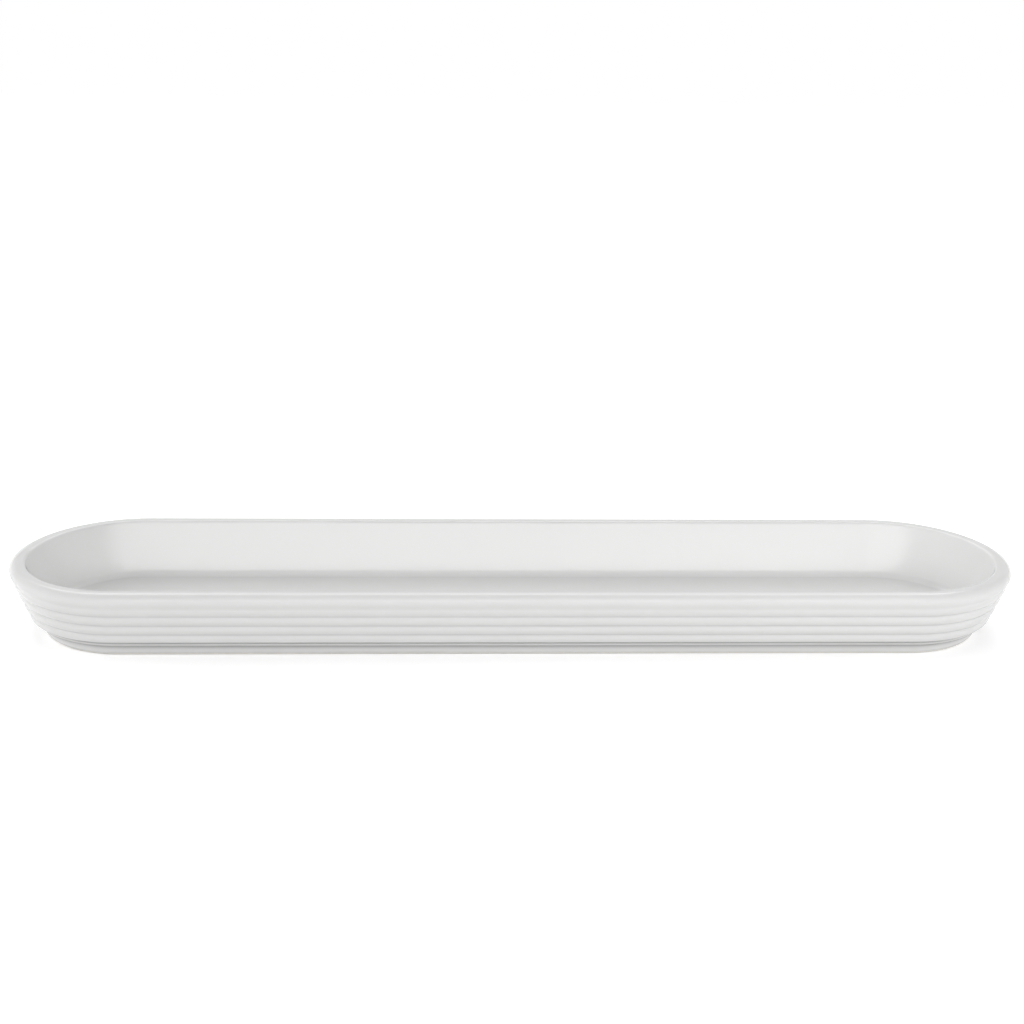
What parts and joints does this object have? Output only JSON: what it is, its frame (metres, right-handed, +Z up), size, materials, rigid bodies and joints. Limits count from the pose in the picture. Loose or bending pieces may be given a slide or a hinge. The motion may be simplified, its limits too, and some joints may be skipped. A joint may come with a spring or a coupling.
{
  "type": "asparagus plate",
  "caption": "Long narrow white glazed porcelain serving plate with straight sides, half-round ends, a flared wall ridged outside and a foot ring; holds asparagus spears lengthwise.",
  "frame": {"origin": "middle of the plate's footprint, on the table that the foot ring stands on", "axes": "+X along the plate's length, +Y across it, +Z up"},
  "size_m": [0.36, 0.084, 0.026],
  "materials": {
    "bare_porcelain": "matte, unglazed",
    "white_glaze": "gloss"
  },
  "bodies": {
    "root": {"porcelain_body": "bare_porcelain", "glaze_coat": "white_glaze", "foot_well_glaze": "white_glaze"}
  },
  "joints": []
}
